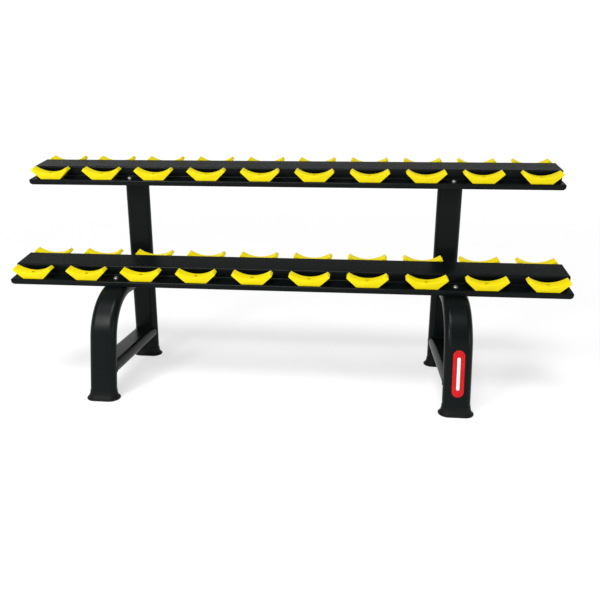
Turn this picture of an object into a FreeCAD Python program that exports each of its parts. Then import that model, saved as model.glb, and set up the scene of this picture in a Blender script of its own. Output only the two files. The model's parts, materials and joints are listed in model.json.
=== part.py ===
import FreeCAD, Part
import math
import os
import Sketcher

# Two-tier dumbbell rack: bent oval-tube side frames, two tilted hat-section shelves and moulded saddles.

Vector = FreeCAD.Vector
Rotation = FreeCAD.Rotation
Placement = FreeCAD.Placement

# Driving dimensions in millimetres and degrees. Depths run back from the lower shelf's front fold.
sizes = {
    "rack_length": 2355,
    "end_margin": 97.5,
    "saddles_per_row": 10,
    "frame_pitches": 3,
    "tilt": 13,
    "lower_height": 457,
    "upper_height": 867,
    "upper_setback": 235,
    "sheet": 3,
    "bend_radius": 3,
    "flange": 22,
    "channel": 72,
    "step_rise": 42,
    "plateau": 130,
    "flange_corner": 14,
    "tube_width": 110,
    "tube_depth": 50,
    "tube_wall": 3,
    "lean": 10,
    "leg_bend": 205,
    "run_rise": 7,
    "run_front": 70,
    "brace_height": 122,
    "seat_height": 12,
    "boot_overhang": 15,
    "boot_rim": 12,
    "rim_edge": 2,
    "boot_height": 38,
    "boot_wall": 3,
    "boot_flare": 9,
    "boot_play": 0.3,
    "saddle_front": 9,
    "rear_saddle_gap": 0.5,
    "saddle_thickness": 40,
    "saddle_base": 89,
    "saddle_width": 172,
    "saddle_shoulder": 40,
    "saddle_tip_span": 154,
    "saddle_height": 50,
    "cradle_radius": 130,
    "cradle_floor": 26,
    "saddle_edge": 1.5,
    "screw_seat": 14,
    "screw_size": 8,
    "bolt_size": 10,
    "bolt_front": 40,
    "hole_play": 0.5,
    "bracket_plate": 6,
    "bracket_width": 100,
    "bracket_inset": 8,
    "web_spacing": 50,
    "upper_web_rise": 24,
    "badge_width": 46,
    "badge_height": 186,
    "badge_centre": 168,
    "badge_thickness": 1.2,
}

doc = FreeCAD.newDocument("dumbbell_rack")
sheet = doc.addObject("Spreadsheet::Sheet", "Sizes")
for row, (alias, number) in enumerate(sizes.items(), start=1):
    sheet.set(f"A{row}", alias)
    sheet.set(f"B{row}", str(number))
    sheet.setAlias(f"B{row}", alias)
doc.recompute()

parts = []


def size(name):
    return "Sizes." + name


def value(expression):
    return float(sheet.evalExpression(str(expression)))


# Worked-out dimensions, as expressions of the sheet's cells.
pitch = "((Sizes.rack_length - 2 * Sizes.end_margin) / (Sizes.saddles_per_row - 1))"
hat_depth = "(2 * Sizes.channel + Sizes.plateau)"
tube_radius = "(Sizes.tube_depth / 2)"
tube_half = "((Sizes.tube_width - Sizes.tube_depth) / 2)"
post_depth = f"(Sizes.upper_setback + {hat_depth} / 2 * cos(Sizes.tilt))"
run_height = f"(Sizes.lower_height - Sizes.flange + Sizes.run_rise - {tube_radius})"
leg_tangent_depth = "(Sizes.run_front - Sizes.leg_bend * cos(Sizes.lean))"
leg_tangent_height = f"({run_height} - Sizes.leg_bend * (1 - sin(Sizes.lean)))"
leg_foot_depth = f"({leg_tangent_depth} - ({leg_tangent_height} - Sizes.seat_height) * tan(Sizes.lean))"
rack_front = f"({leg_foot_depth} - {tube_radius} - Sizes.boot_overhang)"
rack_back = f"(Sizes.upper_setback + {hat_depth} * cos(Sizes.tilt) + Sizes.flange * sin(Sizes.tilt))"
mid_depth = f"(({rack_front} + {rack_back}) / 2)"
rear_saddle_front = "(Sizes.channel + Sizes.plateau + Sizes.bend_radius + Sizes.rear_saddle_gap)"
bolt_rear = f"({hat_depth} - Sizes.bolt_front)"
saddle_middle = "(Sizes.saddle_front + Sizes.saddle_thickness / 2)"
rear_saddle_middle = f"({rear_saddle_front} + Sizes.saddle_thickness / 2)"
plate_under = "(-Sizes.sheet - Sizes.bracket_plate)"
frame_offset = f"(Sizes.frame_pitches * {pitch})"


def shelf_point(setback, height, along, above):
    """Depth and height of a point given along and above a tilted shelf whose fold is at setback, height."""
    depth = f"({setback} + {along} * cos(Sizes.tilt) - ({above}) * sin(Sizes.tilt))"
    rise = f"({height} + {along} * sin(Sizes.tilt) + ({above}) * cos(Sizes.tilt))"
    return depth, rise


def add_body(label, across, depth, height, turn="0"):
    """A body whose origin is across the rack, back from the lower fold and up from the floor."""
    body = doc.addObject("PartDesign::Body", label)
    body.Label = label
    body.Placement = Placement(Vector(), Rotation(Vector(1, 0, 0), 1))
    body.setExpression(".Placement.Base.x", str(across))
    body.setExpression(".Placement.Base.y", f"{depth} - {mid_depth}")
    body.setExpression(".Placement.Base.z", str(height))
    body.setExpression(".Placement.Rotation.Angle", turn)
    parts.append(body)
    return body


def add_sketch(body, role, name, offset="0", turn="0"):
    """A sketch on one of the body's own planes, moved along its normal and turned about its first axis."""
    sketch = body.newObject("Sketcher::SketchObject", name)
    plane = next(item for item in body.Origin.OriginFeatures if item.Role == role)
    sketch.AttachmentSupport = [(plane, "")]
    sketch.MapMode = "FlatFace"
    sketch.AttachmentOffset = Placement(Vector(), Rotation(Vector(1, 0, 0), 1))
    sketch.setExpression(".AttachmentOffset.Base.z", str(offset))
    sketch.setExpression(".AttachmentOffset.Rotation.Angle", str(turn))
    return sketch


def bind(sketch, kind, references, expression):
    index = sketch.addConstraint(Sketcher.Constraint(kind, *references, value(expression)))
    sketch.setExpression(f"Constraints[{index}]", str(expression))


def bind_point(sketch, geometry, point, across, up):
    bind(sketch, "DistanceX", (-1, 1, geometry, point), across)
    bind(sketch, "DistanceY", (-1, 1, geometry, point), up)


def draw_loop(sketch, corners, arcs=None):
    """A closed outline through the corners; arcs maps a side's number to (radius, centre x, centre y)."""
    arcs = arcs or {}
    spots = [Vector(value(across), value(up), 0) for across, up in corners]
    first = sketch.GeometryCount
    count = len(spots)
    ends = []
    for side in range(count):
        start, end = spots[side], spots[(side + 1) % count]
        if side in arcs:
            radius, centre_x, centre_y = arcs[side]
            centre = Vector(value(centre_x), value(centre_y), 0)
            turns = [math.atan2(spot.y - centre.y, spot.x - centre.x) for spot in (start, end)]
            backwards = (turns[1] - turns[0]) % (2 * math.pi) > math.pi
            circle = Part.Circle(centre, Vector(0, 0, 1), value(radius))
            if backwards:
                turns.reverse()
            geometry = sketch.addGeometry(Part.ArcOfCircle(circle, *turns), False)
            ends.append((2, 1) if backwards else (1, 2))
            bind(sketch, "Radius", (geometry,), radius)
        else:
            sketch.addGeometry(Part.LineSegment(start, end), False)
            ends.append((1, 2))
    for side, (across, up) in enumerate(corners):
        previous = (side - 1) % count
        joint = (first + previous, ends[previous][1], first + side, ends[side][0])
        sketch.addConstraint(Sketcher.Constraint("Coincident", *joint))
        bind_point(sketch, first + side, ends[side][0], across, up)


def draw_circle(sketch, across, up, radius):
    centre = Vector(value(across), value(up), 0)
    circle = sketch.addGeometry(Part.Circle(centre, Vector(0, 0, 1), value(radius)), False)
    bind_point(sketch, circle, 3, across, up)
    bind(sketch, "Radius", (circle,), radius)


def draw_oval(sketch, half, radius, across="0", up="0", upright=False):
    """A flat-sided oval: two half circles whose centres are half away from the middle on each side."""
    direction = Vector(0, 1, 0) if upright else Vector(1, 0, 0)
    side = Vector(-direction.y, direction.x, 0)
    middle = Vector(value(across), value(up), 0)
    reach, bend = value(half), value(radius)
    turn = math.pi / 2 if upright else 0
    far, near = middle + direction * reach, middle - direction * reach
    quarter = math.pi / 2
    circles = [Part.Circle(far, Vector(0, 0, 1), bend), Part.Circle(near, Vector(0, 0, 1), bend)]
    cap = sketch.addGeometry(Part.ArcOfCircle(circles[0], turn - quarter, turn + quarter), False)
    sketch.addGeometry(Part.LineSegment(far + side * bend, near + side * bend), False)
    foot = sketch.addGeometry(Part.ArcOfCircle(circles[1], turn + quarter, turn + 3 * quarter), False)
    sketch.addGeometry(Part.LineSegment(near - side * bend, far - side * bend), False)
    for start in range(4):
        joint = (cap + start, 2, cap + (start + 1) % 4, 1)
        sketch.addConstraint(Sketcher.Constraint("Tangent", *joint))
    for arc, sign in ((cap, "+"), (foot, "-")):
        shifted = (across, f"{up} {sign} {half}") if upright else (f"{across} {sign} {half}", up)
        bind_point(sketch, arc, 3, *shifted)
    bind(sketch, "Radius", (cap,), radius)
    sketch.addConstraint(Sketcher.Constraint("Equal", cap, foot))


def draw_tube_section(sketch, up="0"):
    draw_oval(sketch, tube_half, tube_radius, "0", up)
    draw_oval(sketch, tube_half, f"({tube_radius} - Sizes.tube_wall)", "0", up)


def pad(body, sketch, length, both_ways=False, backwards=False):
    feature = body.newObject("PartDesign::Pad", sketch.Name + "_pad")
    feature.Profile = sketch
    feature.setExpression("Length", str(length))
    feature.SideType = "Symmetric" if both_ways else "One side"
    feature.Reversed = backwards
    return feature


def cut(body, sketch, both_ways=True, backwards=False, length=None):
    """A pocket right through the body, or length deep."""
    feature = body.newObject("PartDesign::Pocket", sketch.Name + "_cut")
    feature.Profile = sketch
    feature.Type = "Length" if length else "ThroughAll"
    if length:
        feature.setExpression("Length", str(length))
    feature.SideType = "Symmetric" if both_ways else "One side"
    feature.Reversed = backwards
    return feature


def round_edges(body, name, radius, wanted):
    """Fillet every edge of the body so far for which wanted(edge) holds."""
    doc.recompute()
    base = body.Tip
    names = [f"Edge{index + 1}" for index, edge in enumerate(base.Shape.Edges) if wanted(edge)]
    fillet = body.newObject("PartDesign::Fillet", name)
    fillet.Base = (base, names)
    fillet.setExpression("Radius", str(radius))
    return fillet


def near(first, second):
    return abs(first - second) < 1e-3


def runs_along(edge, axis):
    """True for a straight edge parallel to the axis, a letter of x, y or z."""
    if not isinstance(edge.Curve, Part.Line):
        return False
    direction = edge.Curve.Direction
    return near(abs(getattr(direction, axis)), 1)


def hat_corners():
    """The folded sheet's outline: under side first, then back along the top side, in (along, above)."""
    thick = size("sheet")
    rise = size("step_rise")
    flange_end = "-Sizes.flange"
    step_in = size("channel")
    step_out = f"({hat_depth} - Sizes.channel)"
    under = f"-{thick}"
    top_side = [
        ("0", flange_end), ("0", "0"), (step_in, "0"), (step_in, rise),
        (step_out, rise), (step_out, "0"), (hat_depth, "0"), (hat_depth, flange_end),
    ]
    under_side = [
        (f"({hat_depth} - {thick})", flange_end), (f"({hat_depth} - {thick})", under),
        (f"({step_out} - {thick})", under), (f"({step_out} - {thick})", f"({rise} - {thick})"),
        (f"({step_in} + {thick})", f"({rise} - {thick})"), (f"({step_in} + {thick})", under),
        (thick, under), (thick, flange_end),
    ]
    return top_side, under_side


def make_shelf(label, setback, height):
    """One sheet folded into two channels with a raised plateau between and a flange down each long side."""
    body = add_body(label, 0, setback, height, size("tilt"))
    top_side, under_side = hat_corners()
    profile = add_sketch(body, "YZ_Plane", label + "_profile")
    draw_loop(profile, top_side + under_side)
    pad(body, profile, size("rack_length"), both_ways=True)

    outer = [top_side[index] for index in (1, 3, 4, 6)] + [under_side[index] for index in (2, 5)]
    inner = [top_side[index] for index in (2, 5)] + [under_side[index] for index in (1, 3, 4, 6)]
    for name, corners, radius in (
        ("outer_bends", outer, "(Sizes.bend_radius + Sizes.sheet)"),
        ("inner_bends", inner, size("bend_radius")),
    ):
        spots = [(value(along), value(above)) for along, above in corners]
        round_edges(body, f"{label}_{name}", radius, lambda edge: runs_along(edge, "x") and any(
            near(edge.Vertexes[0].Y, along) and near(edge.Vertexes[0].Z, above) for along, above in spots))
    flange_end = -value(size("flange"))
    round_edges(body, label + "_flange_corners", size("flange_corner"),
                lambda edge: runs_along(edge, "y") and near(edge.Vertexes[0].Z, flange_end))

    first_hole = add_sketch(body, "XY_Plane", label + "_saddle_holes")
    for along in (saddle_middle, rear_saddle_middle):
        draw_circle(first_hole, f"-{pitch} * (Sizes.saddles_per_row - 1) / 2", along,
                    "(Sizes.screw_size / 2 + Sizes.hole_play)")
    hole = cut(body, first_hole)
    row = body.newObject("PartDesign::LinearPattern", label + "_hole_row")
    row.Originals = [hole]
    row.Direction = (first_hole, ["H_Axis"])
    row.setExpression("Length", f"{pitch} * (Sizes.saddles_per_row - 1)")
    row.setExpression("Occurrences", size("saddles_per_row"))
    body.Tip = row

    bolt_holes = add_sketch(body, "XY_Plane", label + "_bolt_holes")
    for across in (frame_offset, "-" + frame_offset):
        for along in (size("bolt_front"), bolt_rear):
            draw_circle(bolt_holes, across, along, "(Sizes.bolt_size / 2 + Sizes.hole_play)")
    cut(body, bolt_holes)


def make_rear_post(label, across):
    """Upright oval tube, its top cut to the shelf's tilt under the upper bracket."""
    body = add_body(label, across, post_depth, 0)
    section = add_sketch(body, "XY_Plane", label + "_section", size("seat_height"))
    draw_tube_section(section)
    pad(body, section, size("upper_height"))
    above = f"({plate_under} - Sizes.upper_web_rise - Sizes.bracket_plate)"
    spots = [shelf_point("0", size("upper_height"), along, above)
             for along in ("(-Sizes.tube_width)", "Sizes.tube_width")]
    half = f"({hat_depth} / 2 * sin(Sizes.tilt))"
    top = "(Sizes.upper_height * 2)"
    sloped = [(depth, f"({rise} + {half})") for depth, rise in spots]
    trim = add_sketch(body, "YZ_Plane", label + "_top")
    draw_loop(trim, sloped + [(sloped[1][0], top), (sloped[0][0], top)])
    cut(body, trim)


def make_front_leg(label, across):
    """Oval tube that leans back from the foot, bends over and runs level to the rear post."""
    body = add_body(label, across, "0", 0)
    section = add_sketch(body, "XZ_Plane", label + "_section", f"-{post_depth}")
    draw_tube_section(section, run_height)
    corners = [
        (post_depth, run_height),
        (size("run_front"), run_height),
        (leg_tangent_depth, leg_tangent_height),
        (leg_foot_depth, size("seat_height")),
    ]
    spots = [Vector(value(depth), value(rise), 0) for depth, rise in corners]
    path = add_sketch(body, "YZ_Plane", label + "_path")
    centre = Vector(spots[1].x, spots[1].y - value(size("leg_bend")), 0)
    circle = Part.Circle(centre, Vector(0, 0, 1), value(size("leg_bend")))
    lean = math.radians(value(size("lean")))
    path.addGeometry(Part.LineSegment(spots[0], spots[1]), False)
    path.addGeometry(Part.ArcOfCircle(circle, math.pi / 2, math.pi - lean), False)
    path.addGeometry(Part.LineSegment(spots[2], spots[3]), False)
    path.addConstraint(Sketcher.Constraint("Coincident", 0, 2, 1, 1))
    path.addConstraint(Sketcher.Constraint("Coincident", 1, 2, 2, 1))
    for (depth, rise), (geometry, point) in zip(corners, ((0, 1), (0, 2), (2, 1), (2, 2))):
        bind_point(path, geometry, point, depth, rise)
    bind(path, "Radius", (1,), size("leg_bend"))
    tube = body.newObject("PartDesign::AdditivePipe", label + "_tube")
    tube.Profile = section
    tube.Spine = path
    cope = add_sketch(body, "XY_Plane", label + "_cope")
    draw_oval(cope, tube_half, tube_radius, "0", post_depth)
    cut(body, cope)


def make_brace(label, across):
    """The same oval tube lying flat, low between the leaning leg and the rear post, coped to both."""
    body = add_body(label, across, leg_foot_depth, 0)
    span = f"({post_depth} - {leg_foot_depth})"
    leg_shift = "((Sizes.brace_height - Sizes.seat_height) * tan(Sizes.lean))"
    section = add_sketch(body, "XZ_Plane", label + "_section", f"-{span}")
    draw_tube_section(section, size("brace_height"))
    pad(body, section, f"({span} - {leg_shift})")
    rear_cope = add_sketch(body, "XY_Plane", label + "_rear_cope")
    draw_oval(rear_cope, tube_half, tube_radius, "0", span)
    cut(body, rear_cope)
    front_cope = add_sketch(body, "XY_Plane", label + "_front_cope", size("seat_height"), "-Sizes.lean")
    draw_oval(front_cope, tube_half, tube_radius)
    cut(body, front_cope)


def make_boot(label, across, depth, lean):
    """Flared rubber foot: a rounded rim on the floor and a collar round the tube, solid under the tube."""
    body = add_body(label, across, depth, 0)
    rim = add_sketch(body, "XY_Plane", label + "_rim")
    draw_oval(rim, tube_half, f"({tube_radius} + Sizes.boot_overhang)")
    pad(body, rim, size("boot_rim"))
    seat = (size("seat_height"), f"-{lean}")
    collar = add_sketch(body, "XY_Plane", label + "_collar", *seat)
    draw_oval(collar, tube_half, f"({tube_radius} + Sizes.boot_wall)")
    pad(body, collar, "(Sizes.boot_height - Sizes.seat_height)")
    root = add_sketch(body, "XY_Plane", label + "_root", *seat)
    draw_oval(root, tube_half, f"({tube_radius} + Sizes.boot_wall)")
    pad(body, root, "(Sizes.boot_rim / 2)", backwards=True)
    rim_height = value(size("boot_rim"))
    rim_reach = value(f"{tube_radius} + Sizes.boot_overhang")

    def at_rim(edge):
        heights = [vertex.Z for vertex in edge.Vertexes] + [edge.CenterOfMass.z]
        return all(near(height, rim_height) for height in heights)

    def outside(edge):
        return any(near(abs(vertex.Y), rim_reach) for vertex in edge.Vertexes)

    round_edges(body, label + "_flare", size("boot_flare"),
                lambda edge: at_rim(edge) and not outside(edge))
    round_edges(body, label + "_rim_edge", size("rim_edge"),
                lambda edge: at_rim(edge) and outside(edge))
    socket = add_sketch(body, "XY_Plane", label + "_socket", *seat)
    draw_oval(socket, tube_half, f"({tube_radius} + Sizes.boot_play)")
    cut(body, socket, both_ways=False, backwards=True)


def make_upper_bracket(label, across):
    """Plate under both channels, two webs and a foot plate on the rear post's cut top."""
    body = add_body(label, across, size("upper_setback"), size("upper_height"), size("tilt"))
    half_width = "(Sizes.bracket_width / 2)"
    near_end = size("bracket_inset")
    far_end = f"({hat_depth} - Sizes.bracket_inset)"
    plate = add_sketch(body, "XY_Plane", label + "_plate", plate_under)
    draw_loop(plate, [(f"-{half_width}", near_end), (half_width, near_end),
                      (half_width, far_end), (f"-{half_width}", far_end)])
    pad(body, plate, size("bracket_plate"))
    web_foot = f"({plate_under} - Sizes.upper_web_rise)"
    middle = f"({hat_depth} / 2)"
    webs = add_sketch(body, "XY_Plane", label + "_webs", web_foot)
    inside = "(Sizes.web_spacing / 2 - Sizes.bracket_plate / 2)"
    outside = "(Sizes.web_spacing / 2 + Sizes.bracket_plate / 2)"
    for side in ("", "-"):
        draw_loop(webs, [(side + inside, f"({middle} - Sizes.plateau / 2)"),
                         (side + outside, f"({middle} - Sizes.plateau / 2)"),
                         (side + outside, f"({middle} + Sizes.plateau / 2)"),
                         (side + inside, f"({middle} + Sizes.plateau / 2)")])
    pad(body, webs, size("upper_web_rise"))
    foot = add_sketch(body, "XY_Plane", label + "_foot", web_foot)
    draw_oval(foot, tube_half, f"({tube_radius} + Sizes.bracket_plate)", "0",
              f"({middle} + ({web_foot} - Sizes.bracket_plate) * tan(Sizes.tilt))")
    pad(body, foot, size("bracket_plate"), backwards=True)
    cut_bolt_holes(body, label)


def make_lower_bracket(label, across):
    """Plate under both channels on two webs whose lower edges follow the leg's bend and level run."""
    body = add_body(label, across, "0", size("lower_height"), size("tilt"))

    def from_floor(depth, rise):
        drop = f"({rise} - Sizes.lower_height)"
        along = f"({depth} * cos(Sizes.tilt) + {drop} * sin(Sizes.tilt))"
        above = f"({drop} * cos(Sizes.tilt) - {depth} * sin(Sizes.tilt))"
        return along, above

    near_end = size("bracket_inset")
    far_end = f"({hat_depth} - Sizes.bracket_inset)"
    run_top = f"({run_height} + {tube_radius})"
    bend_outside = f"(Sizes.leg_bend + {tube_radius})"
    bend_centre = (size("run_front"), f"({run_height} - Sizes.leg_bend)")
    front_depth = "(Sizes.bracket_inset * 2)"
    reach = f"(Sizes.run_front - {front_depth})"
    front_rise = f"({bend_centre[1]} + sqrt({bend_outside} ^ 2 - {reach} ^ 2))"
    rear_depth = f"({far_end} * cos(Sizes.tilt))"
    front_foot = from_floor(front_depth, front_rise)
    corners = [
        (front_foot[0], plate_under),
        front_foot,
        from_floor(size("run_front"), run_top),
        from_floor(rear_depth, run_top),
        (from_floor(rear_depth, run_top)[0], plate_under),
    ]
    centre = from_floor(*bend_centre)
    plate = add_sketch(body, "YZ_Plane", label + "_plate")
    draw_loop(plate, [(near_end, plate_under), (far_end, plate_under),
                      (far_end, "-Sizes.sheet"), (near_end, "-Sizes.sheet")])
    pad(body, plate, size("bracket_width"), both_ways=True)
    for name, spread, feature in (("webs", "+", pad), ("gap", "-", cut)):
        side = add_sketch(body, "YZ_Plane", f"{label}_{name}")
        draw_loop(side, corners, {1: (bend_outside, *centre)})
        width = f"(Sizes.web_spacing {spread} Sizes.bracket_plate)"
        feature(body, side, length=width, both_ways=True)
    cut_bolt_holes(body, label)


def cut_bolt_holes(body, label):
    holes = add_sketch(body, "XY_Plane", label + "_holes")
    for along in (size("bolt_front"), bolt_rear):
        draw_circle(holes, "0", along, "(Sizes.bolt_size / 2 + Sizes.hole_play)")
    cut(body, holes)


def make_saddle(label, across, setback, height, along):
    """Moulded cradle: narrow flat base, flared flanks, hollow top, and a sunk screw hole."""
    body = add_body(label, across, *shelf_point(setback, height, along, "0"), size("tilt"))
    base = "(Sizes.saddle_base / 2)"
    shoulder = "(Sizes.saddle_width / 2)"
    tip = "(Sizes.saddle_tip_span / 2)"
    rim = size("saddle_height")
    outline = add_sketch(body, "XZ_Plane", label + "_outline")
    draw_loop(outline, [
        (f"-{base}", "0"), (base, "0"), (shoulder, size("saddle_shoulder")),
        (tip, rim), (f"-{tip}", rim), (f"-{shoulder}", size("saddle_shoulder")),
    ])
    pad(body, outline, size("saddle_thickness"), both_ways=True)
    cradle = add_sketch(body, "XZ_Plane", label + "_cradle")
    draw_circle(cradle, "0", "(Sizes.cradle_floor + Sizes.cradle_radius)", size("cradle_radius"))
    cut(body, cradle)
    edge_radius = value(size("saddle_edge"))
    round_edges(body, label + "_edges", size("saddle_edge"),
                lambda edge: not runs_along(edge, "y") and edge.CenterOfMass.z > edge_radius)
    seat = add_sketch(body, "XY_Plane", label + "_screw_seat", size("screw_seat"))
    draw_circle(seat, "0", "0", size("screw_size"))
    cut(body, seat, both_ways=False, backwards=True)
    hole = add_sketch(body, "XY_Plane", label + "_screw_hole")
    draw_circle(hole, "0", "0", "(Sizes.screw_size / 2 + Sizes.hole_play)")
    cut(body, hole)


def make_badge(label, across):
    """Plain pill-shaped plate on the front of one leaning leg."""
    rise = size("badge_centre")
    depth = (f"({leg_foot_depth} + ({rise} - Sizes.seat_height) * tan(Sizes.lean)"
             f" - {tube_radius} / cos(Sizes.lean))")
    body = add_body(label, across, depth, rise, "-Sizes.lean")
    pill = add_sketch(body, "XZ_Plane", label + "_pill")
    half = "((Sizes.badge_height - Sizes.badge_width) / 2)"
    draw_oval(pill, half, "(Sizes.badge_width / 2)", upright=True)
    pad(body, pill, size("badge_thickness"))


def hexagon(across_flats, height):
    radius = across_flats / math.sqrt(3)
    corners = [Vector(radius * math.cos(turn * math.pi / 3), radius * math.sin(turn * math.pi / 3), 0)
               for turn in range(7)]
    return Part.Face(Part.makePolygon(corners)).extrude(Vector(0, 0, height))


def make_screw(thread, head_radius, head_height, length):
    """Screw along -Z with the underside of its round head at the origin."""
    head = Part.makeCylinder(head_radius, head_height)
    top_edges = [edge for edge in head.Edges if near(edge.CenterOfMass.z, head_height)]
    head = head.makeFillet(head_height / 4, top_edges)
    socket = hexagon(thread * 0.75, head_height).translated(Vector(0, 0, head_height / 2))
    shank = Part.makeCylinder(thread / 2, length, Vector(), Vector(0, 0, -1))
    return head.cut(socket).fuse(shank).removeSplitter()


def make_nut(thread):
    """Hexagon nut along -Z with its upper face at the origin and a snug bore."""
    height = thread * 0.8
    body = hexagon(thread * 1.7, height).cut(Part.makeCylinder(thread / 2, height))
    return body.translated(Vector(0, 0, -height))


def shelf_places(along_list, across_list, above):
    """Placements on both shelves, turned to the tilt."""
    tilt = Rotation(Vector(1, 0, 0), value(size("tilt")))
    for setback, height in (("0", size("lower_height")), (size("upper_setback"), size("upper_height"))):
        for along in along_list:
            for across in across_list:
                depth, rise = shelf_point(setback, height, along, above)
                spot = Vector(value(across), value(f"{depth} - {mid_depth}"), value(rise))
                yield Placement(spot, tilt)


def add_hardware(label, pieces):
    """One object that holds many copies of small hardware; pieces is a list of (shape, placement)."""
    feature = doc.addObject("Part::Feature", label)
    feature.Label = label
    feature.Shape = Part.makeCompound([shape.transformed(spot.toMatrix()) for shape, spot in pieces])
    feature.Placement = Placement()
    parts.append(feature)


def make_hardware():
    screw_size, bolt_size = value(size("screw_size")), value(size("bolt_size"))
    under_saddle = "-Sizes.sheet"
    screw_length = value("Sizes.screw_seat + Sizes.sheet") + screw_size
    bolt_length = value("Sizes.sheet + Sizes.bracket_plate") + bolt_size
    saddle_rows = (saddle_middle, rear_saddle_middle)
    bolt_rows = (size("bolt_front"), bolt_rear)
    frames = ("-" + frame_offset, frame_offset)
    screw = make_screw(screw_size, screw_size * 0.8, screw_size * 0.75, screw_length)
    bolt = make_screw(bolt_size, bolt_size * 0.9, bolt_size * 0.55, bolt_length)
    screw_places = list(shelf_places(saddle_rows, saddle_columns, size("screw_seat")))
    add_hardware("saddle_screws", [(screw, spot) for spot in screw_places])
    add_hardware("shelf_bolts", [(bolt, spot) for spot in shelf_places(bolt_rows, frames, "0")])
    nuts = [(make_nut(screw_size), spot) for spot in shelf_places(saddle_rows, saddle_columns, under_saddle)]
    nuts += [(make_nut(bolt_size), spot) for spot in shelf_places(bolt_rows, frames, plate_under)]
    add_hardware("lock_nuts", nuts)


saddle_columns = [f"({pitch} * ({index} - (Sizes.saddles_per_row - 1) / 2))"
                  for index in range(sizes["saddles_per_row"])]
shelves = {"lower": ("0", size("lower_height")), "upper": (size("upper_setback"), size("upper_height"))}

for shelf, (setback, height) in shelves.items():
    make_shelf(shelf + "_shelf", setback, height)
    for row, along in (("front", saddle_middle), ("rear", rear_saddle_middle)):
        for number, across in enumerate(saddle_columns, start=1):
            make_saddle(f"{shelf}_{row}_saddle_{number:02d}", across, setback, height, along)

for side, across in (("left", "-" + frame_offset), ("right", frame_offset)):
    make_rear_post(side + "_rear_post", across)
    make_front_leg(side + "_front_leg", across)
    make_brace(side + "_brace", across)
    make_boot(side + "_rear_foot", across, post_depth, "0")
    make_boot(side + "_front_foot", across, leg_foot_depth, size("lean"))
    make_lower_bracket(side + "_lower_bracket", across)
    make_upper_bracket(side + "_upper_bracket", across)

make_badge("badge", frame_offset)
make_hardware()

doc.recompute()
failed = [item.Name for item in doc.Objects if {"Invalid", "Error"} & set(item.State)]
if failed:
    raise SystemExit("these objects failed: " + ", ".join(failed))

os.makedirs("parts", exist_ok=True)
for item in parts:
    if item.Shape.isNull() or not item.Shape.isValid():
        raise SystemExit(item.Label + " has no valid shape")
    item.Shape.exportStep(f"parts/{item.Label}.step")
print(len(parts), "parts written")
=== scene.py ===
import bmesh
import bpy
import json
import math
from mathutils import Matrix, Vector


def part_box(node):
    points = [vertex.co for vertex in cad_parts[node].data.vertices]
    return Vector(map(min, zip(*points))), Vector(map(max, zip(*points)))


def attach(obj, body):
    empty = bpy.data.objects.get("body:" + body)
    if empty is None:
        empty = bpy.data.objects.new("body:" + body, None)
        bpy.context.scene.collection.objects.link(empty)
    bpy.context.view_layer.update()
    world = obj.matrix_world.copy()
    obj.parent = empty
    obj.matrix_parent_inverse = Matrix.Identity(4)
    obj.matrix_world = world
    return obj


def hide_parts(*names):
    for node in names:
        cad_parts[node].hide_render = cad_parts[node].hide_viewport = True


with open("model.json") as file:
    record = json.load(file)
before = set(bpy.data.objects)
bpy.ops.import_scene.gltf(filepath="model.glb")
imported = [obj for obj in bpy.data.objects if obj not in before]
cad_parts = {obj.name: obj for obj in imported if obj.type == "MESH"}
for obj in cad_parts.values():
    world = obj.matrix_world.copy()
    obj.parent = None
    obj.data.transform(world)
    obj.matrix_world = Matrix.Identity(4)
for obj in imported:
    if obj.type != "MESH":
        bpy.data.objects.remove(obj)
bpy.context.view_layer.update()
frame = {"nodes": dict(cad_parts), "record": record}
nodes = frame["nodes"]
print("frame loaded,", len(nodes), "nodes")


# one output socket, so that sums of sockets read like sums
class Signal:
    def __init__(self, graph, socket):
        self.graph = graph
        self.socket = socket

    def maths(self, operation, *values):
        return self.graph.add("ShaderNodeMath", dict(enumerate(values)), operation=operation)

    def __add__(self, other):
        return self.maths("ADD", self, other)

    def __sub__(self, other):
        return self.maths("SUBTRACT", self, other)

    def __mul__(self, other):
        return self.maths("MULTIPLY", self, other)

    def __truediv__(self, other):
        return self.maths("DIVIDE", self, other)

    def __rsub__(self, other):
        return self.maths("SUBTRACT", other, self)

    __radd__ = __add__
    __rmul__ = __mul__


# adds nodes to a shader or geometry tree
class Graph:
    def __init__(self, tree):
        self.tree = tree

    def add(self, kind, inputs=None, output=0, **settings):
        node = self.tree.nodes.new(kind)
        for name, setting in settings.items():
            setattr(node, name, setting)
        for name, value in (inputs or {}).items():
            self.feed(node.inputs[name], value)
        return Signal(self, node.outputs[output]) if node.outputs else node

    def feed(self, socket, value):
        if isinstance(value, Signal):
            self.tree.links.new(value.socket, socket)
        else:
            socket.default_value = value

    def blend(self, mask, first, second):
        return self.add("ShaderNodeMix", {0: mask, 6: first, 7: second}, output=2, data_type="RGBA")

    def ramp(self, value, low, high, bottom=0.0, top=1.0):
        steps = {"Value": value, "From Min": low, "From Max": high, "To Min": bottom, "To Max": top}
        return self.add("ShaderNodeMapRange", steps)

    def noise(self, place, scale, detail=3.0, roughness=0.5):
        settings = {"Vector": place, "Scale": scale, "Detail": detail, "Roughness": roughness}
        return self.add("ShaderNodeTexNoise", settings)


def startMaterial(name):
    material = bpy.data.materials.new(name)
    material.use_nodes = True
    graph = Graph(material.node_tree)
    surface = material.node_tree.nodes["Principled BSDF"]
    place = graph.add("ShaderNodeTexCoord", output=3)
    return material, graph, surface, place


def stretch(graph, place, scale):
    return graph.add("ShaderNodeMapping", {"Vector": place, "Scale": scale})


def setBump(graph, surface, height, strength, distance):
    bump = graph.add("ShaderNodeBump", {"Height": height, "Strength": strength, "Distance": distance})
    graph.feed(surface.inputs["Normal"], bump)


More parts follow.
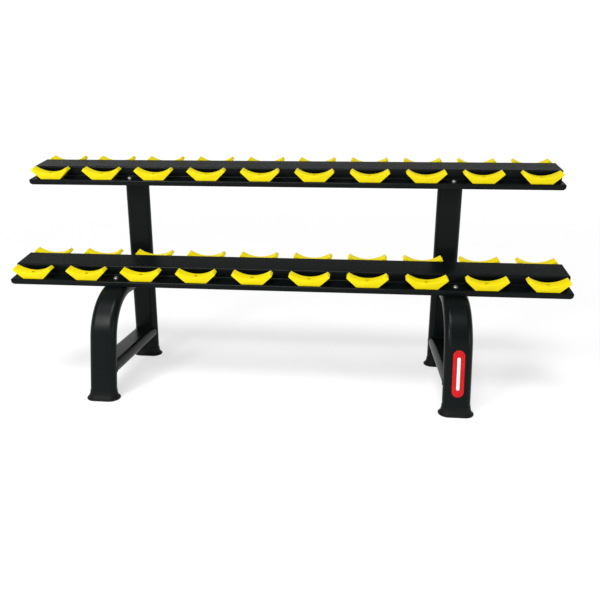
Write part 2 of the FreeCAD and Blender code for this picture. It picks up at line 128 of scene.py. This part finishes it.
powderCoat = {
    "colour": (0.0018, 0.0032, 0.0032, 1),
    "dusty": (0.0052, 0.0078, 0.0076, 1),
    "grain": 900.0,
    "flow": 160.0,
    "roughness": (0.22, 0.34),
    "ior": 1.2,
}


def makePowderCoat():
    material, graph, surface, place = startMaterial("blackPowderCoat")
    grain = graph.noise(place, powderCoat["grain"], 2.0)
    flow = graph.noise(place, powderCoat["flow"], 3.0)
    cloud = graph.noise(place, 6.0, 4.0, 0.6)
    scuffs = graph.noise(stretch(graph, place, (3.0, 40.0, 40.0)), 5.0, 6.0, 0.7)
    scuffMask = graph.ramp(scuffs, 0.66, 0.74)
    dust = graph.ramp(cloud, 0.35, 0.8, 0.0, 0.35) + scuffMask * 0.25
    colour = graph.blend(dust, powderCoat["colour"], powderCoat["dusty"])
    low, high = powderCoat["roughness"]
    rough = graph.ramp(cloud * 0.7 + flow * 0.3, 0.3, 0.7, low, high) + scuffMask * 0.1
    graph.feed(surface.inputs["Base Color"], colour)
    graph.feed(surface.inputs["Roughness"], rough)
    surface.inputs["IOR"].default_value = powderCoat["ior"]
    setBump(graph, surface, grain * 0.6 + flow * 0.4, 0.22, 0.0006)
    return material


saddlePlastic = {
    "colour": (0.77, 0.64, 0.002, 1),
    "deep": (0.70, 0.56, 0.002, 1),
    "rubbed": (0.60, 0.49, 0.03, 1),
    "grain": 1400.0,
    "roughness": (0.34, 0.5),
    "ior": 1.2,
}


def makeSaddlePlastic():
    material, graph, surface, place = startMaterial("yellowSaddlePlastic")
    grain = graph.add("ShaderNodeTexVoronoi", {"Vector": place, "Scale": saddlePlastic["grain"]})
    cloud = graph.noise(place, 14.0, 3.0)
    drift = graph.noise(place, 90.0, 4.0)
    rub = graph.noise(stretch(graph, place, (60.0, 6.0, 60.0)), 6.0, 5.0, 0.65)
    wear = graph.add("ShaderNodeAttribute", output=2, attribute_name="wear")
    rubMask = graph.ramp(rub, 0.5, 0.7) * wear
    shade = graph.ramp(cloud * 0.6 + drift * 0.4, 0.3, 0.75)
    colour = graph.blend(shade * 0.5, saddlePlastic["colour"], saddlePlastic["deep"])
    colour = graph.blend(rubMask * 0.5, colour, saddlePlastic["rubbed"])
    low, high = saddlePlastic["roughness"]
    graph.feed(surface.inputs["Base Color"], colour)
    graph.feed(surface.inputs["Roughness"], graph.ramp(drift, 0.3, 0.7, low, high) + rubMask * 0.15)
    surface.inputs["IOR"].default_value = saddlePlastic["ior"]
    setBump(graph, surface, grain * 0.5 + drift * 0.5 - rubMask * 0.3, 0.18, 0.0005)
    return material


footRubber = {
    "colour": (0.0036, 0.0042, 0.0042, 1),
    "dusty": (0.014, 0.0145, 0.0138, 1),
    "grain": 700.0,
    "roughness": (0.45, 0.6),
    "ior": 1.2,
    "dustHeight": 0.012,
}


def makeFootRubber():
    material, graph, surface, place = startMaterial("blackFootRubber")
    grain = graph.noise(place, footRubber["grain"], 3.0)
    cloud = graph.noise(place, 30.0, 5.0, 0.6)
    height = graph.add("ShaderNodeSeparateXYZ", {"Vector": place}, output=2)
    floorDust = graph.ramp(height, footRubber["dustHeight"], 0.0) * graph.ramp(cloud, 0.35, 0.7)
    colour = graph.blend(floorDust * 0.6 + graph.ramp(cloud, 0.5, 0.9, 0.0, 0.3),
                         footRubber["colour"], footRubber["dusty"])
    graph.feed(surface.inputs["Base Color"], colour)
    low, high = footRubber["roughness"]
    graph.feed(surface.inputs["Roughness"], graph.ramp(cloud, 0.3, 0.7, low, high))
    surface.inputs["IOR"].default_value = footRubber["ior"]
    setBump(graph, surface, grain, 0.3, 0.0006)
    return material


zincSteel = {"colour": (0.62, 0.62, 0.60, 1), "tarnish": (0.42, 0.42, 0.40, 1), "roughness": (0.2, 0.42)}


def makeZincSteel():
    material, graph, surface, place = startMaterial("zincSteel")
    spangle = graph.add("ShaderNodeTexVoronoi", {"Vector": place, "Scale": 520.0})
    cloud = graph.noise(place, 240.0, 4.0)
    low, high = zincSteel["roughness"]
    colour = graph.blend(graph.ramp(cloud, 0.35, 0.7), zincSteel["colour"], zincSteel["tarnish"])
    graph.feed(surface.inputs["Base Color"], colour)
    graph.feed(surface.inputs["Roughness"], graph.ramp(cloud * 0.6 + spangle * 0.4, 0.2, 0.7, low, high))
    surface.inputs["Metallic"].default_value = 1.0
    setBump(graph, surface, cloud, 0.12, 0.0003)
    return material


badgePlastic = {
    "colour": (0.52, 0.004, 0.006, 1),
    "deep": (0.38, 0.002, 0.004, 1),
    "stripe": (0.75, 0.73, 0.70, 1),
    "roughness": (0.16, 0.28),
    "ior": 1.3,
}


def makeBadgePlastic(name, first, second):
    material, graph, surface, place = startMaterial(name)
    cloud = graph.noise(place, 60.0, 3.0)
    fine = graph.noise(place, 700.0, 2.0)
    low, high = badgePlastic["roughness"]
    graph.feed(surface.inputs["Base Color"], graph.blend(graph.ramp(cloud, 0.35, 0.7), first, second))
    graph.feed(surface.inputs["Roughness"], graph.ramp(fine, 0.3, 0.7, low, high))
    surface.inputs["IOR"].default_value = badgePlastic["ior"]
    setBump(graph, surface, cloud, 0.05, 0.0004)
    return material


finishes = {
    "powder_coat": makePowderCoat(),
    "saddle_plastic": makeSaddlePlastic(),
    "foot_rubber": makeFootRubber(),
    "zinc_steel": makeZincSteel(),
    "badge_plastic": makeBadgePlastic("redBadgePlastic", badgePlastic["colour"], badgePlastic["deep"]),
}
stripePlastic = makeBadgePlastic("paleBadgeStripe", badgePlastic["stripe"], badgePlastic["stripe"])
print("materials made")

slotOf = {entry["node"]: entry["material_slot"] for entry in frame["record"]["subparts"]}
for name, node in nodes.items():
    node.data.materials.clear()
    node.data.materials.append(finishes[slotOf[name]])


def meshPiece(name, mesh, material=None):
    piece = bpy.data.objects.new(name, mesh)
    bpy.context.scene.collection.objects.link(piece)
    if material:
        mesh.materials.clear()
        mesh.materials.append(material)
    return piece


def settle(piece):
    # the evaluated result becomes a plain mesh and the modifiers go
    bpy.context.view_layer.update()
    graph = bpy.context.evaluated_depsgraph_get()
    mesh = bpy.data.meshes.new_from_object(piece.evaluated_get(graph))
    mesh.name = piece.name
    piece.modifiers.clear()
    piece.data = mesh
    return piece


def shadeByAngle(mesh, degrees):
    for polygon in mesh.polygons:
        polygon.use_smooth = True
    builder = bmesh.new()
    builder.from_mesh(mesh)
    for edge in builder.edges:
        edge.smooth = edge.calc_face_angle(0.0) < math.radians(degrees)
    builder.to_mesh(mesh)
    builder.free()


# the builder's faces become a mesh, turned outward and smoothed below the given angle
def finishMesh(builder, name, degrees=None):
    bmesh.ops.recalc_face_normals(builder, faces=builder.faces)
    mesh = bpy.data.meshes.new(name)
    builder.to_mesh(mesh)
    builder.free()
    if degrees:
        shadeByAngle(mesh, degrees)
    return mesh


# closed loops of corners skinned one to the next, the first and the last filled
def skinLoops(builder, loops, material=0):
    for lower, upper in zip(loops, loops[1:]):
        for index in range(len(lower)):
            following = (index + 1) % len(lower)
            face = builder.faces.new((lower[index], lower[following], upper[following], upper[index]))
            face.material_index = material
    builder.faces.new(list(reversed(loops[0]))).material_index = material
    builder.faces.new(loops[-1]).material_index = material


def addTreeInput(tree, name, kind):
    return tree.interface.new_socket(name=name, in_out="INPUT", socket_type=kind)


def startTree(name, inputs):
    tree = bpy.data.node_groups.new(name, "GeometryNodeTree")
    addTreeInput(tree, "Geometry", "NodeSocketGeometry")
    for label, kind in inputs.items():
        addTreeInput(tree, label, kind)
    tree.interface.new_socket(name="Geometry", in_out="OUTPUT", socket_type="NodeSocketGeometry")
    graph = Graph(tree)
    source = tree.nodes.new("NodeGroupInput")
    return tree, graph, {socket.name: Signal(graph, socket) for socket in source.outputs if socket.name}


def endTree(graph, geometry, material):
    placed = graph.add("GeometryNodeRealizeInstances", {"Geometry": geometry})
    finished = graph.add("GeometryNodeSetMaterial", {"Geometry": placed, "Material": material})
    graph.add("NodeGroupOutput", {"Geometry": finished})


def applyTree(piece, tree, values):
    modifier = piece.modifiers.new(tree.name, "NODES")
    modifier.node_group = tree
    for socket in tree.interface.items_tree:
        if socket.in_out == "INPUT" and socket.name in values:
            modifier[socket.identifier] = values[socket.name]
    return settle(piece)


rack = {"tilt": math.radians(13), "lean": math.radians(10), "perRow": 10, "seat": 0.012}


def nodeBox(name):
    low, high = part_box(name)
    return Vector(low), Vector(high)


# middle across, half width of the flat, radius and middle depth of one side's post
def tubeSide(side):
    low, high = nodeBox(side + "_rear_post")
    radius = (high.y - low.y) / 2
    return (low.x + high.x) / 2, (high.x - low.x) / 2 - radius, radius, (low.y + high.y) / 2


# where a saddle's base is centred, from the box that its tilted solid fills
def saddlePlace(name, thickness):
    low, high = nodeBox(name)
    half = thickness / 2
    tilt = rack["tilt"]
    return Vector(((low.x + high.x) / 2, high.y - half * math.cos(tilt), low.z + half * math.sin(tilt)))


saddle = {
    "base": 0.089,
    "width": 0.172,
    "tipSpan": 0.154,
    "shoulder": 0.040,
    "height": 0.0498,
    "cradleRadius": 0.130,
    "cradleFloor": 0.026,
    "thickness": 0.040,
    "edge": 0.0022,
    "seat": 0.014,
    "seatRadius": 0.008,
    "holeRadius": 0.0045,
    "holeStart": -0.01,
    "drillLength": 0.06,
    "wornReach": 0.07,
    "wornAbove": 0.005,
    "arcSteps": 36,
}


def saddleOutline():
    radius = saddle["cradleRadius"]
    middle = saddle["cradleFloor"] + radius
    reach = math.acos((middle - saddle["height"]) / radius)
    base, shoulder, tip = saddle["base"] / 2, saddle["width"] / 2, saddle["tipSpan"] / 2
    points = [(-base, 0), (base, 0), (shoulder, saddle["shoulder"]), (tip, saddle["height"])]
    for step in range(saddle["arcSteps"] + 1):
        angle = reach - 2 * reach * step / saddle["arcSteps"]
        points.append((radius * math.sin(angle), middle - radius * math.cos(angle)))
    return points + [(-tip, saddle["height"]), (-shoulder, saddle["shoulder"])]


def makeSaddle():
    builder = bmesh.new()
    half = saddle["thickness"] / 2
    face = builder.faces.new([builder.verts.new((x, -half, z)) for x, z in saddleOutline()])
    sweep = bmesh.ops.extrude_face_region(builder, geom=[face])
    moved = [item for item in sweep["geom"] if isinstance(item, bmesh.types.BMVert)]
    bmesh.ops.translate(builder, vec=(0, 2 * half, 0), verts=moved)
    piece = meshPiece("saddle", finishMesh(builder, "saddle"), finishes["saddle_plastic"])
    bevel = piece.modifiers.new("edges", "BEVEL")
    bevel.width = saddle["edge"]
    bevel.segments = 4
    bevel.limit_method = "ANGLE"
    bevel.angle_limit = math.radians(20)
    settle(piece)

    builder = bmesh.new()
    drillLength = saddle["drillLength"]
    for radius, low in ((saddle["seatRadius"], saddle["seat"]), (saddle["holeRadius"], saddle["holeStart"])):
        drill = bmesh.ops.create_cone(builder, cap_ends=True, segments=32, radius1=radius, radius2=radius,
                                      depth=drillLength)
        bmesh.ops.translate(builder, vec=(0, 0, low + drillLength / 2), verts=drill["verts"])
    drill = meshPiece("drill", finishMesh(builder, "drill"))
    cut = piece.modifiers.new("screwHole", "BOOLEAN")
    cut.object = drill
    cut.operation = "DIFFERENCE"
    cut.solver = "EXACT"
    cut.use_self = True
    settle(piece)
    bpy.data.objects.remove(drill)
    shadeByAngle(piece.data, 28)
    wear = piece.data.attributes.new("wear", "FLOAT", "POINT")
    for vertex, entry in zip(piece.data.vertices, wear.data):
        above = vertex.normal.z > 0.5 and vertex.co.z > saddle["seat"] + saddle["wornAbove"]
        entry.value = max(0.0, 1 - abs(vertex.co.x) / saddle["wornReach"]) if above else 0.0
    return piece


# the modifier's own mesh is repeated along a row, turned to the shelf's tilt
def makeRowTree():
    tree, graph, source = startTree("pieceRow", {
        "Count": "NodeSocketInt", "Start": "NodeSocketVector", "Step": "NodeSocketVector",
        "Tilt": "NodeSocketVector", "Material": "NodeSocketMaterial",
    })
    line = graph.add("GeometryNodeMeshLine", {
        "Count": source["Count"], "Start Location": source["Start"], "Offset": source["Step"]})
    placed = graph.add("GeometryNodeInstanceOnPoints", {
        "Points": line, "Instance": source["Geometry"], "Rotation": source["Tilt"]})
    endTree(graph, placed, source["Material"])
    return tree


rowTree = makeRowTree()


def makeRow(name, master, start, step, count, material):
    piece = meshPiece(name, master.data.copy())
    applyTree(piece, rowTree, {
        "Count": count, "Start": start, "Step": step, "Tilt": (rack["tilt"], 0, 0), "Material": material})
    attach(piece, "root")
    return piece


saddleMaster = makeSaddle()
for shelf in ("lower", "upper"):
    for row in ("front", "rear"):
        names = [f"{shelf}_{row}_saddle_{number:02d}" for number in range(1, rack["perRow"] + 1)]
        first = saddlePlace(names[0], saddle["thickness"])
        last = saddlePlace(names[-1], saddle["thickness"])
        step = (last - first) / (rack["perRow"] - 1)
        piece = makeRow(f"{shelf}{row.title()}Saddles", saddleMaster, first, step, rack["perRow"],
                        finishes["saddle_plastic"])
        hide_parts(*names)
bpy.data.objects.remove(saddleMaster)
print("saddles made")

washer = {
    "inner": 0.0052,
    "outer": 0.0115,
    "thick": 0.0016,
    "chamfer": 0.0005,
    # distances along the shelf's slope from the middle of the front saddles
    "rows": {"Front": 0.011, "Rear": 0.205},
}


def makeRing(name, outline, steps=40):
    # outline: closed list of (radius, height), turned about Z
    builder = bmesh.new()
    rings = []
    for step in range(steps):
        angle = 2 * math.pi * step / steps
        rings.append([builder.verts.new((radius * math.cos(angle), radius * math.sin(angle), height))
                      for radius, height in outline])
    for step in range(steps):
        first, second = rings[step], rings[(step + 1) % steps]
        for index in range(len(outline)):
            following = (index + 1) % len(outline)
            builder.faces.new((first[index], second[index], second[following], first[following]))
    return meshPiece(name, finishMesh(builder, name, 28))


def addWashers():
    inner, outer, thick = washer["inner"], washer["outer"], washer["thick"]
    master = makeRing("washer", [
        (inner, 0), (outer, 0), (outer, thick * 0.75), (outer - washer["chamfer"], thick), (inner, thick)])
    tilt = rack["tilt"]
    leftX, rightX = tubeSide("left")[0], tubeSide("right")[0]
    for shelf in ("lower", "upper"):
        front = saddlePlace(f"{shelf}_front_saddle_01", saddle["thickness"])
        along = Vector((0, math.cos(tilt), math.sin(tilt)))
        for row, distance in washer["rows"].items():
            spot = front + along * distance
            spot.x = leftX
            apart = (rightX - leftX, 0, 0)
            piece = makeRow(f"{shelf}{row}Washers", master, spot, apart, 2, finishes["zinc_steel"])
    bpy.data.objects.remove(master)


addWashers()
print("washers made")

# the bead stops short of the tube's very edge by the share that "within" leaves
weld = {"bead": 0.0032, "ripple": 0.0045, "depth": 0.22, "step": 0.0011, "within": 0.992}


# a rippled bead along the modifier's own line
def makeWeldTree():
    tree, graph, source = startTree("weldBead", {
        "Bead": "NodeSocketFloat", "Ripple": "NodeSocketFloat", "Depth": "NodeSocketFloat",
        "Step": "NodeSocketFloat", "Material": "NodeSocketMaterial",
    })
    line = graph.add("GeometryNodeMeshToCurve", {"Mesh": source["Geometry"]})
    sampled = graph.add("GeometryNodeResampleCurve", {"Curve": line, "Length": source["Step"]}, mode="LENGTH")
    travelled = graph.add("GeometryNodeSplineParameter", output=1)
    turns = travelled / source["Ripple"] * (2 * math.pi)
    wave = graph.add("ShaderNodeMath", {0: turns}, operation="SINE")
    swollen = source["Bead"] * (1 + wave * source["Depth"])
    section = graph.add("GeometryNodeCurvePrimitiveCircle", {"Resolution": 8, "Radius": 1.0}, mode="RADIUS")
    bead = graph.add("GeometryNodeCurveToMesh", {
        "Curve": sampled, "Profile Curve": section, "Scale": swollen, "Fill Caps": True})
    endTree(graph, bead, source["Material"])
    return tree


weldTree = makeWeldTree()


def ovalPoints(half, radius, steps=20, upright=False):
    # a flat-sided oval as (first, second) coordinates, long in the second when upright
    points = []
    for side, start in ((1, -math.pi / 2), (-1, math.pi / 2)):
        for step in range(steps + 1):
            angle = start + math.pi * step / steps
            points.append((side * half + radius * math.cos(angle), radius * math.sin(angle)))
    return [(-b, a) for a, b in points] if upright else points


def addWeld(name, loop):
    mesh = bpy.data.meshes.new(name)
    count = len(loop)
    mesh.from_pydata(loop, [(index, (index + 1) % count) for index in range(count)], [])
    piece = meshPiece(name, mesh)
    applyTree(piece, weldTree, {
        "Bead": weld["bead"], "Ripple": weld["ripple"], "Depth": weld["depth"], "Step": weld["step"],
        "Material": finishes["powder_coat"]})
    shadeByAngle(piece.data, 60)
    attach(piece, "root")


def weldSide(side):
    middleX, half, radius, middlePost = tubeSide(side)
    braceLow, braceHigh = nodeBox(side + "_brace")
    footLow, footHigh = nodeBox(side + "_front_foot")
    braceMiddle = (braceLow.z + braceHigh.z) / 2
    runMiddle = nodeBox(side + "_front_leg")[1].z - radius
    lean = rack["lean"]

    def reach(x):
        beyond = max(0.0, abs(x) - half)
        return math.sqrt(max(radius * radius - beyond * beyond, 0.0))

    def legBack(x, z):
        axis = (footLow.y + footHigh.y) / 2 + (z - rack["seat"]) * math.tan(lean)
        return axis + reach(x) / math.cos(lean)

    def postFront(x, z):
        return middlePost - reach(x)

    inside = (half + radius) * weld["within"]
    flat = [(x, z) for x, z in ovalPoints(half, radius) if abs(x) < inside]
    for name, depth, middle in (
        ("BraceRearWeld", postFront, braceMiddle),
        ("BraceFrontWeld", legBack, braceMiddle),
        ("RunWeld", postFront, runMiddle),
    ):
        addWeld(side + name, [(middleX + x, depth(x, middle + z), middle + z) for x, z in flat])


boot = {
    "height": 0.038,
    "reach": 0.0146,
    "rimHeight": 0.010,
    "rimRound": 0.0044,
    "flare": 2.4,
    "lipReach": 0.0017,
    "lipRound": 0.0008,
    "hidden": 0.0008,
    # height at which the rim has taken on the leaning tube's longer section
    "settled": 0.03,
    "steps": 12,
}


# heights above the floor and reaches beyond the tube: a round rim, a hollow flare and a lip round the tube
def bootProfile():
    steps, lip = boot["steps"], boot["lipRound"]
    rimReach = boot["reach"] - boot["rimRound"]
    flareTop = boot["height"] - lip
    points = []
    for step in range(steps + 1):
        angle = math.pi * (step / steps - 0.5)
        height = boot["rimHeight"] / 2 * (1 + math.sin(angle))
        points.append((height, rimReach + boot["rimRound"] * math.cos(angle)))
    for step in range(1, steps + 1):
        share = step / steps
        height = boot["rimHeight"] + share * (flareTop - boot["rimHeight"])
        fall = (1 - share) ** boot["flare"]
        points.append((height, boot["lipReach"] + (rimReach - boot["lipReach"]) * fall))
    for angle in (math.pi / 4, math.pi / 2):
        points.append((flareTop + lip * math.sin(angle), boot["lipReach"] - lip + lip * math.cos(angle)))
    return points + [(flareTop, -boot["hidden"])]


def addBoot(side, end):
    middleX, half, radius, _ = tubeSide(side)
    low, high = nodeBox(f"{side}_{end}_foot")
    lean = rack["lean"] if end == "front" else 0.0
    middleY = (low.y + high.y) / 2
    builder = bmesh.new()
    loops = []
    for height, beyond in bootProfile():
        shift = max(0.0, height - rack["seat"]) * math.tan(lean)
        deeper = 1 + (1 / math.cos(lean) - 1) * min(1.0, height / boot["settled"])
        loops.append([
            builder.verts.new((middleX + x, middleY + shift + y * deeper, height))
            for x, y in ovalPoints(half, radius + beyond, 24)])
    skinLoops(builder, loops)
    name = side + end.capitalize() + "Boot"
    piece = meshPiece(name, finishMesh(builder, name, 40), finishes["foot_rubber"])
    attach(piece, "root")
    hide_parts(f"{side}_{end}_foot")


for side in ("left", "right"):
    weldSide(side)
    addBoot(side, "front")
    addBoot(side, "rear")
print("welds and boots made")

badge = {
    "stripeWidth": 0.012,
    "stripeLength": 0.13,
    "stripeEdge": 0.0003,
    "raised": 0.0003,
    # nested rings from the edge inward: how many lips in from the edge, and the share of the thickness
    "lip": 0.0016,
    "rings": ((0, 0), (0, 0.5), (0.6, 0.85), (2, 1), (3.4, 0.8), (5, 0.78)),
}


# rings: (width, length, height) of nested ovals from the outside in
def addPill(builder, rings, material):
    loops = []
    for width, length, height in rings:
        points = ovalPoints((length - width) / 2, width / 2, 24, upright=True)
        loops.append([builder.verts.new((x, z, height)) for x, z in points])
    skinLoops(builder, loops, material)


def addBadge():
    low, high = nodeBox("badge")
    lean = rack["lean"]
    width = high.x - low.x
    size = high - low
    # height and thickness of the leaning plate, from its box
    length = (size.z * math.cos(lean) - size.y * math.sin(lean)) / math.cos(2 * lean)
    thick = (size.y - length * math.sin(lean)) / math.cos(lean)
    builder = bmesh.new()
    addPill(builder, [
        (width - badge["lip"] * inward, length - badge["lip"] * inward, thick * share)
        for inward, share in badge["rings"]], 0)
    stripe, run, edge = badge["stripeWidth"], badge["stripeLength"], badge["stripeEdge"]
    top = thick * badge["rings"][-1][1] + badge["raised"]
    addPill(builder, [
        (stripe, run, thick * 0.5), (stripe, run, top - edge / 3), (stripe - edge * 2, run - edge * 2, top),
    ], 1)
    mesh = finishMesh(builder, "badgePlate", 35)
    across = Vector((1, 0, 0))
    rise = Vector((0, math.sin(lean), math.cos(lean)))
    outward = Vector((0, -math.cos(lean), math.sin(lean)))
    turn = Matrix((across, rise, outward)).transposed().to_4x4()
    middle = (low + high) / 2 - outward * thick / 2
    mesh.transform(Matrix.Translation(middle) @ turn)
    mesh.materials.append(finishes["badge_plastic"])
    mesh.materials.append(stripePlastic)
    piece = meshPiece("badgePlate", mesh)
    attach(piece, "root")
    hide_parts("badge")


addBadge()
print("badge made")

studio = {
    "floor": (0.40, 0.40, 0.40, 1),
    "floorDull": (0.38, 0.38, 0.38, 1),
    "floorGlow": 0.62,
    "floorReach": 14.0,
    "world": 0.27,
    "backdrop": 1.0,
    "wallReach": 12.5,
    "wallHeight": 5.0,
    "wallSteps": 64,
    "sunPower": 1.6,
    "sunWidth": 22,
    "sunFrom": (-0.13, -0.35, 0.93),
    # place, point that it faces, width, height and power of each light panel
    "panels": {
        "frontLeft": ((-2.0, -3.2, 2.9), (-0.6, -0.3, 0.3), 0.9, 1.6, 92),
        "frontStrip": ((0.1, -3.7, 2.1), (0, -0.3, 0.4), 0.3, 2.6, 18),
        "frontRight": ((3.0, -2.2, 1.5), (0, 0, 0.5), 0.6, 1.4, 16),
    },
    "place": (0.3113, -2.5101, 1.0359),
    "pitch": 0.261,
    "yaw": 0.096,
    "roll": 0.0042,
    "focal": 35.42,
    "sensor": 36,
}


def makeFloor():
    material, graph, surface, place = startMaterial("paleFloor")
    cloud = graph.noise(place, 2.0, 2.0)
    graph.feed(surface.inputs["Base Color"], graph.blend(cloud, studio["floor"], studio["floorDull"]))
    surface.inputs["Roughness"].default_value = 0.9
    surface.inputs["Specular IOR Level"].default_value = 0.1
    surface.inputs["Emission Color"].default_value = (1, 1, 1, 1)
    surface.inputs["Emission Strength"].default_value = studio["floorGlow"]
    reach = studio["floorReach"]
    mesh = bpy.data.meshes.new("floor")
    mesh.from_pydata([(-reach, -reach, 0), (reach, -reach, 0), (reach, reach, 0), (-reach, reach, 0)],
                     [], [(0, 1, 2, 3)])
    meshPiece("floor", mesh, material)


def addPanel(name, spot, aim, width, height, power):
    light = bpy.data.lights.new(name, "AREA")
    light.shape = "RECTANGLE"
    light.size = width
    light.size_y = height
    light.energy = power
    panel = bpy.data.objects.new(name, light)
    panel.location = spot
    panel.rotation_euler = (Vector(aim) - Vector(spot)).to_track_quat("-Z", "Y").to_euler()
    bpy.context.scene.collection.objects.link(panel)


def addCamera():
    camera = bpy.data.cameras.new("camera")
    camera.lens = studio["focal"]
    camera.sensor_width = studio["sensor"]
    holder = bpy.data.objects.new("camera", camera)
    turn = Matrix.Rotation(studio["yaw"], 4, "Z") @ Matrix.Rotation(math.pi / 2 - studio["pitch"], 4, "X")
    holder.matrix_world = Matrix.Translation(studio["place"]) @ turn @ Matrix.Rotation(studio["roll"], 4, "Z")
    bpy.context.scene.collection.objects.link(holder)
    bpy.context.scene.camera = holder


def addSun():
    light = bpy.data.lights.new("sun", "SUN")
    light.energy = studio["sunPower"]
    light.angle = math.radians(studio["sunWidth"])
    sun = bpy.data.objects.new("sun", light)
    sun.rotation_euler = Vector(studio["sunFrom"]).to_track_quat("Z", "Y").to_euler()
    bpy.context.scene.collection.objects.link(sun)


def makeBackdrop():
    material = bpy.data.materials.new("whiteBackdrop")
    material.use_nodes = True
    surface = material.node_tree.nodes["Principled BSDF"]
    surface.inputs["Base Color"].default_value = (0, 0, 0, 1)
    surface.inputs["Emission Color"].default_value = (1, 1, 1, 1)
    surface.inputs["Emission Strength"].default_value = studio["backdrop"]
    reach, height, steps = studio["wallReach"], studio["wallHeight"], studio["wallSteps"]
    around = [2 * math.pi * step / steps for step in range(steps)]
    corners = [
        (reach * math.cos(angle), reach * math.sin(angle), level)
        for level in (0, height) for angle in around]
    faces = [(step, (step + 1) % steps, steps + (step + 1) % steps, steps + step) for step in range(steps)]
    mesh = bpy.data.meshes.new("backdrop")
    mesh.from_pydata(corners, [], [tuple(reversed(face)) for face in faces])
    meshPiece("backdrop", mesh, material)


makeFloor()
makeBackdrop()
addSun()
for name, settings in studio["panels"].items():
    addPanel(name, *settings)
world = bpy.data.worlds.new("world")
bpy.context.scene.world = world
world.use_nodes = True
sky = world.node_tree.nodes["Background"]
sky.inputs["Color"].default_value = (1, 1, 1, 1)
sky.inputs["Strength"].default_value = studio["world"]
bpy.context.scene.view_settings.view_transform = "Standard"
addCamera()
print("studio made")
